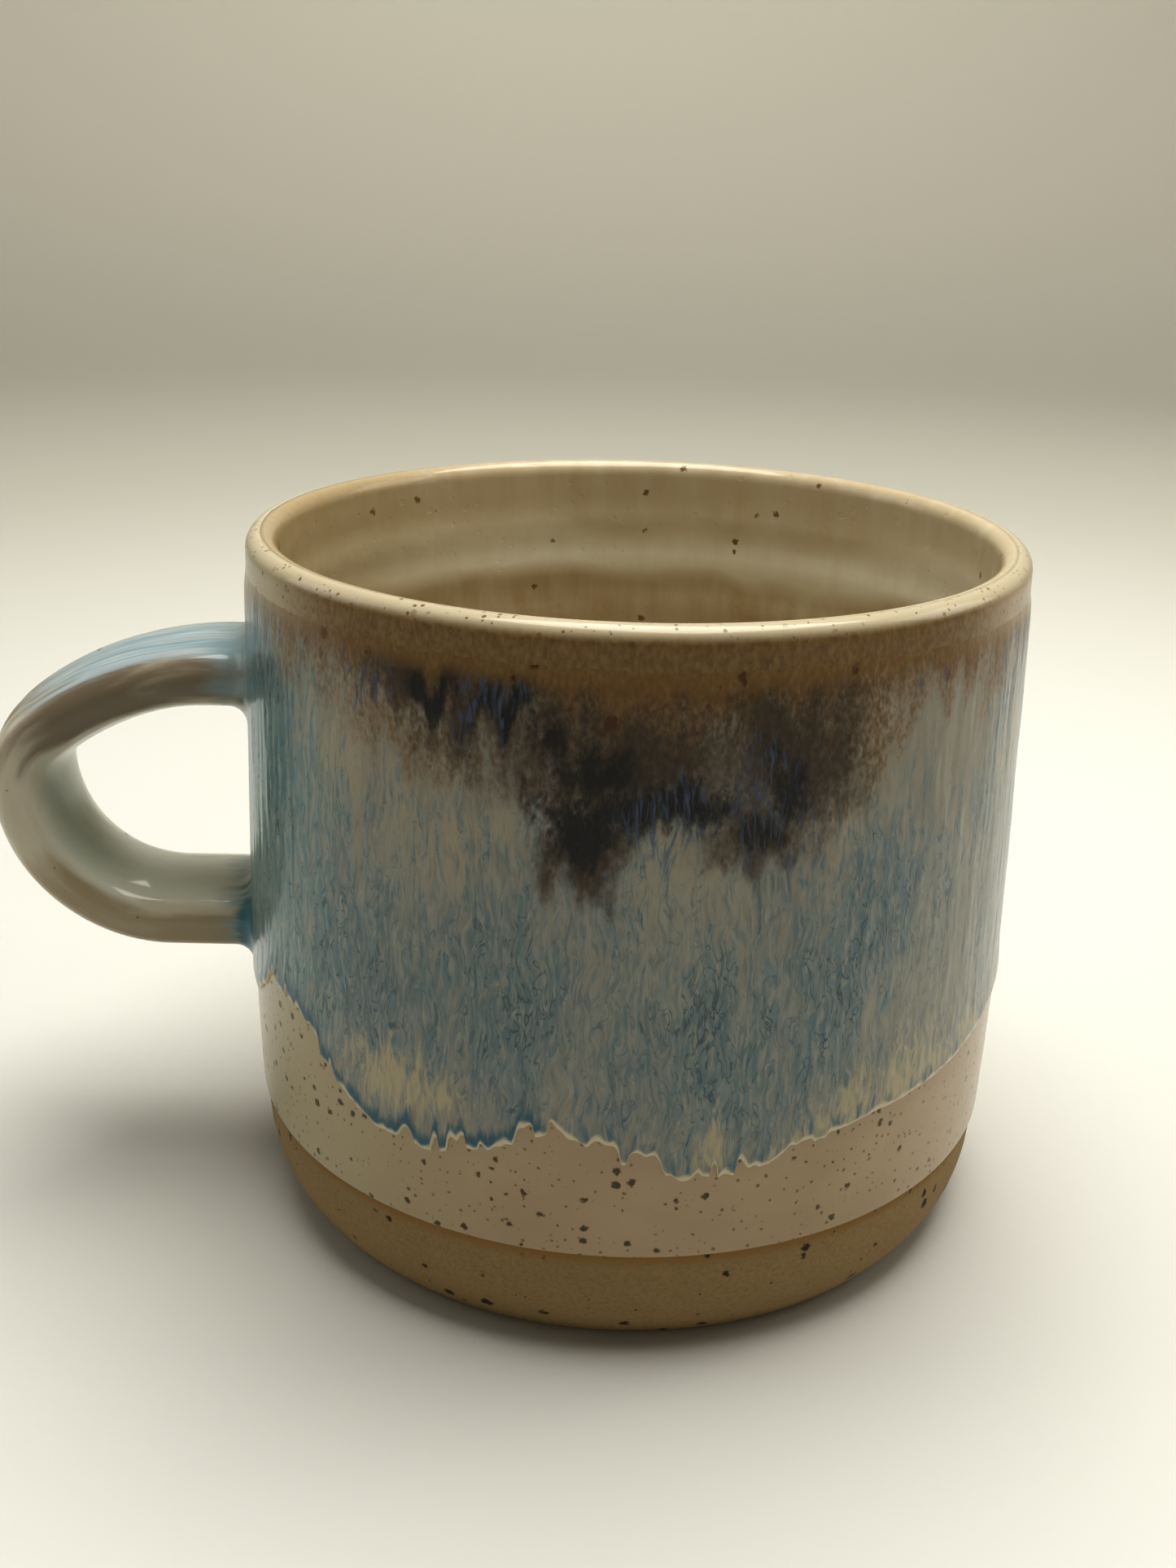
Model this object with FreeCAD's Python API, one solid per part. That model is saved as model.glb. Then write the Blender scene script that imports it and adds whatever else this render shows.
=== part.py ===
"""Hand-thrown stoneware mug with a pulled strap handle, in millimetres.

Frame: +Z up, origin on the mug's axis in the plane of the foot, handle towards -X.

The mug is put together the way a potter does it. A thrown vessel (wall, floor and foot are one clay) takes a
pulled strap handle, and slip is worked round each root of the strap. Over the clay lie the glazes, each a
layer of glass of its own: the liner inside, the white coat outside down to the bare foot, the flowing coat
over the white one, whose lower edge is where it stopped running, and the coat on the handle.
"""

import FreeCAD, Part

import math
import os

Vec = FreeCAD.Vector

# Vessel: sizes of the clay, under the glaze
clay_height = 82.55  # foot to the crest of the lip
rim_radius = 45.0  # outside of the lip
wall_taper_deg = 1.53  # the upper wall leans in by this
straight_wall = 39.0  # height of the wall's straight upper part, under the lip
turn_height = 10.0  # where the swelling lower wall turns in to the foot
turn_set_in = 0.3  # radius lost between the lower end of the straight wall and the turn
foot_set_in = 4.65  # radius lost between the turn and the flat of the foot
lip_wall = 2.6  # wall thickness at the lip
base_wall = 4.8  # wall thickness at the inside corner
floor_thickness = 6.0
inside_corner = 10.0  # rounding between wall and floor

# Strap handle: its centre line runs out level, over a shoulder, down a bend and back level
strap_width = 16.5
strap_thickness = 7.8
strap_edge = 3.0  # rounding of the strap's long edges
root_below_lip = 17.65  # crest of the lip down to the centre of the upper root
upper_level_run = 3.7  # from the wall to the start of the shoulder
shoulder_drop = 14.2  # upper root down to the outermost point of the centre line
shoulder_share_deg = 38.0  # part of the quarter turn that the wide first arc takes
lower_bend = 17.2  # radius of the bend back to the wall
stand_off = 27.8  # lower end of the straight wall out to the outermost point of the centre line

# Slip worked into the corner between wall and strap
slip_fillet = 2.6  # radius of the hollow corner
slip_skin = 0.2  # thickness at which the slip ends
slip_margin = 0.4  # how far that skin runs on past the hollow corner

# Glaze
coat = 0.45  # liner and white coat
flow_coat = 0.4
handle_coat = 0.55
glaze_line = 13.7  # height where the white coat stops above the bare foot
flow_start = 2.4  # the flowing coat starts this far below the crest of the clay
# Lower edge of the flowing coat: degrees round the wall from -Y towards +X, and height
FLOW_EDGE = [
    (-104, 24.8),
    (-84, 24.5),
    (-68, 30.2),
    (-56, 33.4),
    (-42, 26.2),
    (-18, 26.0),
    (-10, 28.4),
    (0, 25.2),
    (18, 24.7),
    (28, 26.8),
    (52, 29.0),
    (78, 31.4),
    (104, 26.0),
    (130, 32.0),
    (156, 26.4),
    (182, 29.6),
    (208, 24.8),
    (232, 28.6),
]

# How far raw solids run on past the face that trims them
ROOT_OVERLAP = 3.0
CURTAIN_OVERLAP = 8.0

AXIS = Vec(0, 0, 1)
ORIGIN = Vec(0, 0, 0)
TOUCH = 1e-4  # a point this near to a face lies on it


# Drawing in the vessel's section, on the +X side


def at(radius, height):
    return Vec(radius, 0, height)


def polar(centre, radius, angle):
    return centre + Vec(math.cos(angle), 0, math.sin(angle)) * radius


def angle_from(centre, point):
    return math.atan2(point.z - centre.z, point.x - centre.x)


def line(start, end):
    return Part.LineSegment(start, end).toShape()


def arc(centre, radius, start, end):
    middle = polar(centre, radius, (start + end) / 2)
    return Part.Arc(polar(centre, radius, start), middle, polar(centre, radius, end)).toShape()


def tangent_arc(start, normal, end):
    """Centre and radius of the arc that leaves start square to its outward normal and ends at end."""
    inward = polar(ORIGIN, -1, normal)
    chord = end - start
    radius = chord.dot(chord) / (2 * chord.dot(inward))
    return start + inward * radius, radius


# The clay section: lip circle, straight wall, swelling wall, foot curve, inside wall and corner

taper = math.radians(wall_taper_deg)
lip_radius = lip_wall / 2
lip_centre = at(rim_radius - lip_radius, clay_height - lip_radius)
wall_top = polar(lip_centre, lip_radius, taper)
belly_top = wall_top + at(math.tan(taper), -1) * straight_wall
turn = at(belly_top.x - turn_set_in, turn_height)
foot_edge = at(turn.x - foot_set_in, 0)
belly_centre, belly_radius = tangent_arc(belly_top, taper, turn)
turn_angle = angle_from(belly_centre, turn)
foot_centre, foot_radius = tangent_arc(turn, turn_angle, foot_edge)
corner_centre = at(turn.x - base_wall - inside_corner, floor_thickness + inside_corner)
# The inside wall is the straight line that touches the lip circle and the corner's circle.
lip_to_corner = lip_centre - corner_centre
inside_lean = (
    math.pi
    - math.atan2(lip_to_corner.z, lip_to_corner.x)
    - math.acos(-(lip_radius + inside_corner) / lip_to_corner.Length)
)


def wall_radius(height):
    """Outside radius of the clay wall at a height above the turn."""
    if height > belly_top.z:
        return belly_top.x - (height - belly_top.z) * math.tan(taper)
    return belly_centre.x + math.sqrt(belly_radius**2 - (height - belly_centre.z) ** 2)


def outside_path(offset, start_height=None, end_height=None):
    """The outside of the clay moved out by offset, going up: foot to crest, or between two heights."""
    path = []
    start_angle = turn_angle
    if start_height is None:
        path.append(arc(foot_centre, foot_radius + offset, angle_from(foot_centre, foot_edge), turn_angle))
    else:
        start_angle = math.asin((start_height - belly_centre.z) / belly_radius)
    path.append(arc(belly_centre, belly_radius + offset, start_angle, taper))
    straight_start = polar(belly_top, offset, taper)
    if end_height is None:
        path.append(line(straight_start, polar(wall_top, offset, taper)))
        path.append(arc(lip_centre, lip_radius + offset, taper, math.pi / 2))
    else:
        clay_end = belly_top + at(-math.tan(taper), 1) * (end_height - belly_top.z)
        path.append(line(straight_start, polar(clay_end, offset, taper)))
    return path


def inside_path(offset):
    """The inside of the clay with a layer of offset on it, going down: from the crest to the axis."""
    inner_angle = math.pi - inside_lean
    corner = inside_corner - offset
    floor = floor_thickness + offset
    return [
        arc(lip_centre, lip_radius + offset, math.pi / 2, inner_angle),
        line(polar(lip_centre, lip_radius + offset, inner_angle), polar(corner_centre, -corner, inner_angle)),
        arc(corner_centre, corner, -inside_lean, -math.pi / 2),
        line(at(corner_centre.x, floor), at(0, floor)),
    ]


def first_point(path):
    return path[0].Vertexes[0].Point


def last_point(path):
    return path[-1].Vertexes[-1].Point


def turned(edges):
    """The solid that a closed outline of the section sweeps about the axis."""
    return Part.Face(Part.Wire(Part.__sortEdges__(edges))).revolve(ORIGIN, AXIS, 360)


def layer(clay_side, free_side):
    """A turned coat between two paths that run side by side."""
    ends = [line(first_point(clay_side), first_point(free_side))]
    ends.append(line(last_point(clay_side), last_point(free_side)))
    return turned(clay_side + free_side + ends)


def make_thrown_body():
    inside = inside_path(0)
    base = [line(last_point(inside), ORIGIN), line(ORIGIN, foot_edge)]
    return turned(outside_path(0) + inside + base)


def vessel_fill(offset):
    """The vessel without its hollow, grown by offset: it trims whatever stands against the wall."""
    path = outside_path(offset)
    bottom = at(0, first_point(path).z)
    top = at(0, last_point(path).z)
    return turned(path + [line(last_point(path), top), line(top, bottom), line(bottom, first_point(path))])


# The strap


def strap_section(offset, place):
    """Face of the strap's section: two crowned faces and two round edges, in the YZ plane at place."""
    half = strap_thickness / 2 + offset
    edge = strap_edge + offset
    edge_centre = strap_width / 2 - strap_edge
    crown = (half**2 + edge_centre**2 - edge**2) / (2 * (half - edge))
    side = math.atan2(crown - half, edge_centre)
    join_y = edge_centre + edge * math.cos(side)
    join_z = edge * math.sin(side)

    def point(y, z):
        return place + Vec(0, y, z)

    corners = [point(join_y, join_z), point(join_y, -join_z), point(-join_y, -join_z), point(-join_y, join_z)]
    middles = [point(edge_centre + edge, 0), point(0, -half), point(-edge_centre - edge, 0), point(0, half)]
    outline = []
    for index, middle in enumerate(middles):
        outline.append(Part.Arc(corners[index], middle, corners[(index + 1) % 4]).toShape())
    return Part.Face(Part.Wire(outline))


def strap(offset):
    """The strap grown by offset, from inside the wall out along its centre line and back into the wall."""
    upper_root = clay_height - root_below_lip
    bend_height = upper_root - shoulder_drop
    lower_root = bend_height - lower_bend
    reach = belly_top.x + stand_off
    upper_start = wall_radius(upper_root) - ROOT_OVERLAP
    shoulder_start = wall_radius(upper_root) + upper_level_run
    lower_end = wall_radius(lower_root) - ROOT_OVERLAP

    # Two arcs, the wide one first, cover the shoulder's run and drop between them.
    share = math.radians(shoulder_share_deg)
    run = reach - shoulder_start
    scale = math.sin(share) + math.cos(share) - 1
    wide = (run * math.cos(share) - shoulder_drop * (1 - math.sin(share))) / scale
    tight = (shoulder_drop * math.sin(share) - run * (1 - math.cos(share))) / scale
    wide_centre = Vec(-shoulder_start, 0, upper_root - wide)
    knee = Vec(-shoulder_start - wide * math.sin(share), 0, upper_root - wide * (1 - math.cos(share)))
    tight_centre = knee + (wide_centre - knee) * (tight / wide)
    bend_centre = Vec(-reach + lower_bend, 0, bend_height)

    face = strap_section(offset, Vec(-upper_start, 0, upper_root))
    outward = Vec(-(upper_level_run + ROOT_OVERLAP), 0, 0)
    pieces = [face.extrude(outward)]
    face.translate(outward)
    turns = [
        (wide_centre, shoulder_share_deg),
        (tight_centre, 90 - shoulder_share_deg),
        (bend_centre, 90),
    ]
    for centre, degrees in turns:
        pieces.append(face.revolve(centre, Vec(0, -1, 0), degrees))
        face.rotate(centre, Vec(0, -1, 0), degrees)
    pieces.append(face.extrude(Vec(reach - lower_bend - lower_end, 0, 0)))
    return pieces[0].multiFuse(pieces[1:]).removeSplitter()


def make_pulled_handle():
    return strap(0).cut(vessel_fill(0))


def filleted_roots(offset, fillet):
    """Vessel and strap grown by offset and joined, with a hollow corner of radius fillet round both roots."""
    fill = vessel_fill(offset)
    limb = strap(offset)
    joined = fill.fuse(limb)
    roots = []
    for edge in joined.Edges:
        middle = Part.Vertex(edge.valueAt((edge.FirstParameter + edge.LastParameter) / 2))
        on_wall = middle.distToShape(fill.Shells[0])[0] < TOUCH
        on_strap = middle.distToShape(limb.Shells[0])[0] < TOUCH
        if on_wall and on_strap:
            roots.append(edge)
    return joined.makeFillet(fillet, roots)


def root_spread():
    """How far from the strap the slip, and the handle's own coat over it, run out over the wall."""
    return slip_skin + slip_fillet + slip_margin


def make_joint_slips():
    """Upper and lower slip, in that order."""
    near_strap = strap(root_spread())
    near_wall = vessel_fill(root_spread())
    slips = filleted_roots(slip_skin, slip_fillet).common(near_strap).common(near_wall)
    slips = slips.cut([vessel_fill(0), strap(0)])
    return sorted(slips.Solids, key=lambda solid: -solid.CenterOfMass.z)


# The glazes


def make_liner_glaze():
    return layer(inside_path(0), inside_path(coat))


def make_white_glaze():
    wall = layer(outside_path(0, start_height=glaze_line), outside_path(coat, start_height=glaze_line))
    return wall.cut(strap(root_spread()))


def flow_curve(radius):
    """Closed smooth curve through the flowing coat's lower edge, drawn at a radius."""
    points = []
    for degrees, height in FLOW_EDGE:
        angle = math.radians(degrees)
        points.append(Vec(radius * math.sin(angle), -radius * math.cos(angle), height))
    curve = Part.BSplineCurve()
    curve.interpolate(Points=points, PeriodicFlag=True)
    return curve.toShape()


def make_flowing_glaze():
    """A full coat on the white one, trimmed by a curtain that stands on its lower edge."""
    lowest = min(height for degrees, height in FLOW_EDGE)
    bottom = (glaze_line + lowest) / 2
    top = clay_height - flow_start
    full = layer(outside_path(coat, bottom, top), outside_path(coat + flow_coat, bottom, top))
    inner = flow_curve(turn.x - CURTAIN_OVERLAP)
    outer = flow_curve(turn.x + CURTAIN_OVERLAP)
    curtain = Part.makeRuledSurface(inner, outer).extrude(AXIS * clay_height)
    return full.common(curtain).cut(strap(root_spread()))


def make_handle_glaze(slips):
    """The handle's coat runs over strap and slips and ends on the wall, where the wall's own coats begin."""
    hollow = slip_fillet - (handle_coat - slip_skin)
    whole = filleted_roots(handle_coat, hollow).common(strap(root_spread()))
    return whole.cut([vessel_fill(0), strap(0)] + slips)


def main():
    upper_slip, lower_slip = make_joint_slips()
    nodes = {
        "thrown_body": make_thrown_body(),
        "pulled_handle": make_pulled_handle(),
        "upper_joint_slip": upper_slip,
        "lower_joint_slip": lower_slip,
        "liner_glaze": make_liner_glaze(),
        "white_glaze": make_white_glaze(),
        "flowing_glaze": make_flowing_glaze(),
        "handle_glaze": make_handle_glaze([upper_slip, lower_slip]),
    }
    os.makedirs("parts", exist_ok=True)
    for name, shape in nodes.items():
        solid = shape.Solids[0] if len(shape.Solids) == 1 else shape
        solid.exportStep("parts/" + name + ".step")
        box = solid.optimalBoundingBox()
        print(
            f"{name}: {len(shape.Solids)} solid, valid {solid.isValid()}, {solid.Volume:.0f} mm3,"
            f" x {box.XMin:.2f} {box.XMax:.2f}, y {box.YMin:.2f} {box.YMax:.2f}, z {box.ZMin:.2f} {box.ZMax:.2f}"
        )


main()
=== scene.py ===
# %% [markdown]
# # A hand-thrown stoneware mug
#
# This lesson builds the looks of a potter's mug over a fixed frame of solids: the thrown body, the pulled
# handle, the slip at its joints and four coats of glaze. The frame says where every surface is. Here each
# coat gets a finer mesh, with the relief that runny glaze really has, and a material made from nodes.
#
# Everything is in metres. +Z is up, the mug stands on z = 0, and the handle points along -X.

# %% Load the frame
import math

import bmesh
import bpy
import numpy as np
from mathutils import Matrix, Vector, noise
from mathutils.bvhtree import BVHTree


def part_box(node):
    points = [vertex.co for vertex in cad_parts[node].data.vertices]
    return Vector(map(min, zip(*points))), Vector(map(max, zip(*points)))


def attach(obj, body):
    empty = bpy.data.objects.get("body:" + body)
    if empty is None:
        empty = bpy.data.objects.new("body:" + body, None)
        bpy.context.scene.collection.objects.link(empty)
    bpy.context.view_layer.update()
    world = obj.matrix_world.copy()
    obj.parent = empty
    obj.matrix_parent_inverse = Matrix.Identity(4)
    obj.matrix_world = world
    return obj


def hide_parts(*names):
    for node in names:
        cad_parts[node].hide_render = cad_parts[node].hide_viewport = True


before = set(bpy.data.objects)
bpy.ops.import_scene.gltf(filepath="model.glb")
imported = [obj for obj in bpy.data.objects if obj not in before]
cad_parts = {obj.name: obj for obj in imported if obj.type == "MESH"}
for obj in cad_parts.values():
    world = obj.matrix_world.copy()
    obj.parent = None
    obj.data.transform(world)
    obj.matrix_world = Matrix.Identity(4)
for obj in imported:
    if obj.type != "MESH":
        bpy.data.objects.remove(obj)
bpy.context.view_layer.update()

MM = 0.001
print("frame nodes:", sorted(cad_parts))

# %% [markdown]
# ## Measuring the frame
#
# The coats have to lie exactly on the frame's surfaces. Instead of repeating the sizes of the solids, the
# lesson measures them: a ray goes from one point in one direction and says where it meets a node, as a
# caliper would. Heights come from the nodes' boxes.


# %% A caliper for the frame's surfaces
def surface_of(node):
    """A search tree over a node's triangles."""
    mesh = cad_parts[node].data
    return BVHTree.FromPolygons([v.co for v in mesh.vertices], [p.vertices for p in mesh.polygons])


def meet(surface, start, direction):
    """Where a ray from start meets the surface."""
    place = surface.ray_cast(Vector(start), Vector(direction).normalized())[0]
    assert place is not None, (tuple(start), tuple(direction))
    return place


clay = surface_of("thrown_body")
white = surface_of("white_glaze")
liner = surface_of("liner_glaze")
clay_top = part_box("thrown_body")[1].z
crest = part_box("white_glaze")[1].z
coat = crest - clay_top
glaze_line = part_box("white_glaze")[0].z
flow_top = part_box("flowing_glaze")[1].z
FAR = 0.2  # a start well outside the mug, for rays that come in from the +X side


def outside(surface, z):
    """Radius of a round surface at height z, measured from outside on the +X side."""
    return meet(surface, (FAR, 0, z), (-1, 0, 0)).x


print(f"clay {clay_top / MM:.2f} mm high, coat {coat / MM:.2f} mm, glaze line {glaze_line / MM:.2f} mm")

# %% [markdown]
# ## The potter's wheel, in nodes
#
# The body and the two coats that cover it all round are lathe work: one section turned about the axis. A
# Geometry Nodes tree does that. It makes a flat grid, reads for each column an angle and for each row a
# point of the section curve, and sets every point there. The same tree adds the throwing rings, the slow
# spiral that fingers leave in wet clay, because they follow a rule too: a sine of height and angle. A
# modifier would keep the tree alive, so the result is baked to a plain mesh at the end.


# %% One helper for every node tree
def add(tree, kind, inputs=None, **settings):
    """Adds a node with its settings and inputs. A node as an input stands for its first output."""
    node = tree.nodes.new(kind)
    for name, value in settings.items():
        setattr(node, name, value)
    for key, value in (inputs or {}).items():
        if isinstance(value, bpy.types.Node):
            value = value.outputs[0]
        if isinstance(value, bpy.types.NodeSocket):
            tree.links.new(value, node.inputs[key])
        else:
            node.inputs[key].default_value = value
    return node


def times(tree, *factors):
    """The product of several values."""
    product = factors[0]
    for factor in factors[1:]:
        product = add(tree, "ShaderNodeMath", {0: product, 1: factor}, operation="MULTIPLY")
    return product


SMOOTH = {"interpolation_type": "SMOOTHSTEP"}  # makes a Map Range an S curve


# %% The lathe tree
RING_INPUTS = ("Ring pitch", "Ring depth", "Ring from", "Ring to", "Ring end")
LATHE_INPUTS = {"Section": "Object", "Columns": "Int", "Rows": "Int", "Finish": "Material"}
LATHE_INPUTS.update({name: "Float" for name in RING_INPUTS})
RING_FADE = 8 * MM  # the rings die out over this height below their end
WELD = 0.002 * MM  # points closer than this become one, which closes the seam and the poles


def build_lathe():
    """Turns the Section curve, drawn in the XZ plane, about Z, and presses spiral rings into it."""
    tree = bpy.data.node_groups.new("potters_wheel", "GeometryNodeTree")
    for name, kind in LATHE_INPUTS.items():
        tree.interface.new_socket(name, in_out="INPUT", socket_type="NodeSocket" + kind)
    tree.interface.new_socket("Geometry", in_out="OUTPUT", socket_type="NodeSocketGeometry")
    given = add(tree, "NodeGroupInput").outputs
    grid = add(
        tree,
        "GeometryNodeMeshGrid",
        {"Size X": 1.0, "Size Y": 1.0, "Vertices X": given["Columns"], "Vertices Y": given["Rows"]},
    )
    place = add(tree, "GeometryNodeInputPosition")
    place = add(tree, "ShaderNodeSeparateXYZ", {0: place})
    turn = times(tree, place.outputs["X"], math.tau)
    along = add(tree, "ShaderNodeMath", {0: place.outputs["Y"], 1: 0.5}, operation="ADD")
    curve = add(tree, "GeometryNodeObjectInfo", {"Object": given["Section"]})
    last_row = add(tree, "ShaderNodeMath", {0: given["Rows"], 1: 1.0}, operation="SUBTRACT")
    row = times(tree, along, last_row)
    row = add(tree, "FunctionNodeFloatToInt", {0: row}, rounding_mode="ROUND")
    curve_place = add(tree, "GeometryNodeInputPosition")
    curve_point = add(
        tree,
        "GeometryNodeSampleIndex",
        {"Geometry": curve.outputs["Geometry"], "Value": curve_place, "Index": row},
        data_type="FLOAT_VECTOR",
        domain="POINT",
    )
    turned = add(
        tree,
        "ShaderNodeVectorRotate",
        {"Vector": curve_point, "Angle": turn},
        rotation_type="Z_AXIS",
    )
    # Rings: depth times the sine of (height over pitch, in turns, plus the angle), faded out at both ends.
    height = add(tree, "ShaderNodeSeparateXYZ", {0: curve_point}).outputs["Z"]
    pitches = add(tree, "ShaderNodeMath", {0: height, 1: given["Ring pitch"]}, operation="DIVIDE")
    phase = add(tree, "ShaderNodeMath", {0: pitches, 1: math.tau, 2: turn}, operation="MULTIPLY_ADD")
    wave = add(tree, "ShaderNodeMath", {0: phase}, operation="SINE")
    band = add(
        tree,
        "ShaderNodeMapRange",
        {"Value": height, "From Min": given["Ring from"], "From Max": given["Ring to"]},
        **SMOOTH,
    )
    fade = add(tree, "ShaderNodeMath", {0: given["Ring end"], 1: RING_FADE}, operation="SUBTRACT")
    calm = add(
        tree,
        "ShaderNodeMapRange",
        {"Value": height, "From Min": given["Ring end"], "From Max": fade},
        **SMOOTH,
    )
    deep = times(tree, wave, given["Ring depth"], calm, band)
    flat = add(tree, "ShaderNodeVectorMath", {0: turned, 1: (1.0, 1.0, 0.0)}, operation="MULTIPLY")
    outward = add(tree, "ShaderNodeVectorMath", {0: flat}, operation="NORMALIZE")
    push = add(tree, "ShaderNodeVectorMath", {0: outward, "Scale": deep}, operation="SCALE")
    final = add(tree, "ShaderNodeVectorMath", {0: turned, 1: push}, operation="ADD")
    shaped = add(tree, "GeometryNodeSetPosition", {"Geometry": grid.outputs["Mesh"], "Position": final})
    closed = add(tree, "GeometryNodeMergeByDistance", {"Geometry": shaped, "Distance": WELD})
    real = add(tree, "GeometryNodeRealizeInstances", {"Geometry": closed})
    finished = add(tree, "GeometryNodeSetMaterial", {"Geometry": real, "Material": given["Finish"]})
    add(tree, "NodeGroupOutput", {"Geometry": finished})
    return tree


potters_wheel = build_lathe()
socket_of = {s.name: s.identifier for s in potters_wheel.interface.items_tree if s.in_out == "INPUT"}
print("lathe inputs:", ", ".join(socket_of))


# %% Turning a section into a piece
def smooth(mesh):
    """Smooth shading all over, with outward normals."""
    work = bmesh.new()
    work.from_mesh(mesh)
    bmesh.ops.recalc_face_normals(work, faces=work.faces)
    work.to_mesh(mesh)
    work.free()
    mesh.polygons.foreach_set("use_smooth", [True] * len(mesh.polygons))


def new_object(name, data):
    thing = bpy.data.objects.new(name, data)
    bpy.context.scene.collection.objects.link(thing)
    return thing


NO_RINGS = (8 * MM, 0.0, 0.0, 1.0, 2.0)


def turn_piece(name, section, columns, finish, rings=NO_RINGS):
    """A piece turned from section, a list of (radius, height). rings are values for RING_INPUTS."""
    curve = bpy.data.curves.new(name + "_section", "CURVE")
    curve.dimensions = "3D"
    line = curve.splines.new("POLY")
    line.points.add(len(section) - 1)
    for point, (radius, height) in zip(line.points, section):
        point.co = (radius, 0, height, 1)
    guide = new_object(name + "_section", curve)
    blank = new_object(name + "_blank", bpy.data.meshes.new(name + "_blank"))
    lathe = blank.modifiers.new("lathe", "NODES")
    lathe.node_group = potters_wheel
    values = {
        "Section": guide,
        "Columns": columns + 1,
        "Rows": len(section),
        "Finish": finish,
        **dict(zip(RING_INPUTS, rings)),
    }
    for key, value in values.items():
        lathe[socket_of[key]] = value
    graph = bpy.context.evaluated_depsgraph_get()
    mesh = bpy.data.meshes.new_from_object(blank.evaluated_get(graph))
    mesh.name = name
    bpy.data.objects.remove(blank)
    bpy.data.objects.remove(guide)
    smooth(mesh)
    print(f"{name}: {len(mesh.vertices)} points, {len(mesh.polygons)} faces")
    return new_object(name, mesh)


# %% [markdown]
# ## Colours and patterns
#
# Potters name colours by eye, so the lesson keeps them as the hex values a screen shows, and one function
# turns them to the linear light that Blender mixes. Every glaze below is a stack: a ground colour, then
# colours laid over it through masks. Masks come from noise stretched along Z, because glaze runs down, and
# from attributes painted on the mesh, which say where on the mug each colour lies.


# %% Colours
def linear(hex_code):
    """Linear RGBA of an sRGB hex value."""
    values = [int(hex_code[i : i + 2], 16) / 255 for i in (1, 3, 5)]
    return tuple(v / 12.92 if v <= 0.04045 else ((v + 0.055) / 1.055) ** 2.4 for v in values) + (1.0,)


def smoothstep(value, low, high):
    """0 below low, 1 above high, and an S curve between."""
    x = np.clip((value - low) / (high - low), 0.0, 1.0)
    return x * x * (3 - 2 * x)


# %% Patterns that several finishes share
MIDDLE = (0.5, 0.5, 0.5)  # of a noise's colour
SLOW = (380.0, 380.0, 170.0)  # bends of wavering streaks per metre: one every 2.6 mm, or 6 mm downwards
WAVER_GAIN = 4  # a noise mostly stays near its middle, so its swing is scaled up to the waver


def run_noise(tree, width, length, detail=2.0, distortion=0.0, seed=0.0, strand=False, waver=0.0):
    """Noise in streaks of that width and length, in metres, down the piece or along the strap.
    With waver, the streaks wander sideways by about that much, as runs of glaze do."""
    if strand:
        place = add(tree, "ShaderNodeAttribute", attribute_name="strand").outputs["Vector"]
    else:
        place = add(tree, "ShaderNodeTexCoord").outputs["Object"]
    if waver:
        slow = add(tree, "ShaderNodeVectorMath", {0: place, 1: SLOW}, operation="MULTIPLY")
        bend = add(tree, "ShaderNodeTexNoise", {"Vector": slow, "Scale": 1.0, "Detail": 1.0})
        bend = add(tree, "ShaderNodeVectorMath", {0: bend.outputs[1], 1: MIDDLE}, operation="SUBTRACT")
        sideways = (WAVER_GAIN * waver, WAVER_GAIN * waver, 0.0)
        bend = {0: bend, 1: sideways, 2: place}
        place = add(tree, "ShaderNodeVectorMath", bend, operation="MULTIPLY_ADD")
    size = (1 / width, 1 / width, 1 / length)
    shape = {"Vector": place, "Scale": size, "Location": (seed, seed, seed)}
    stretched = add(tree, "ShaderNodeMapping", shape)
    settings = {"Vector": stretched, "Scale": 1.0, "Detail": detail, "Distortion": distortion}
    return add(tree, "ShaderNodeTexNoise", settings)


BARE_GAIN = 7.0  # from an amount of one seventh on, a torn mask may be full; at none it is empty


def break_up(tree, amount, noise_out, strength, softness):
    """A mask that is full where amount is high, with an edge torn up by the noise."""
    shifted = add(
        tree, "ShaderNodeMath", {0: noise_out, 1: strength, 2: amount}, operation="MULTIPLY_ADD"
    )
    middle = 0.5 + strength / 2
    none_at_zero = add(
        tree, "ShaderNodeMath", {0: amount, 1: BARE_GAIN}, operation="MULTIPLY", use_clamp=True
    )
    settings = {"Value": shifted, "From Min": middle - softness, "From Max": middle + softness}
    settings["To Max"] = none_at_zero
    return add(tree, "ShaderNodeMapRange", settings, **SMOOTH)


VEIN = 0.035  # how far from its middle the noise still draws a line


def veins(tree, noise_out):
    """Thin wavy lines where the noise crosses its middle value."""
    gap = add(tree, "ShaderNodeMath", {0: noise_out, 1: 0.5}, operation="SUBTRACT")
    gap = add(tree, "ShaderNodeMath", {0: gap}, operation="ABSOLUTE")
    settings = {"Value": gap, "From Min": 0.0, "From Max": VEIN, "To Min": 1.0, "To Max": 0.0}
    return add(tree, "ShaderNodeMapRange", settings, **SMOOTH)


RAGGED = 0.5 * MM  # size of the bumps in a speck's outline
SPECK_EDGE = 0.35  # part of the largest speck's radius over which its border softens


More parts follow.
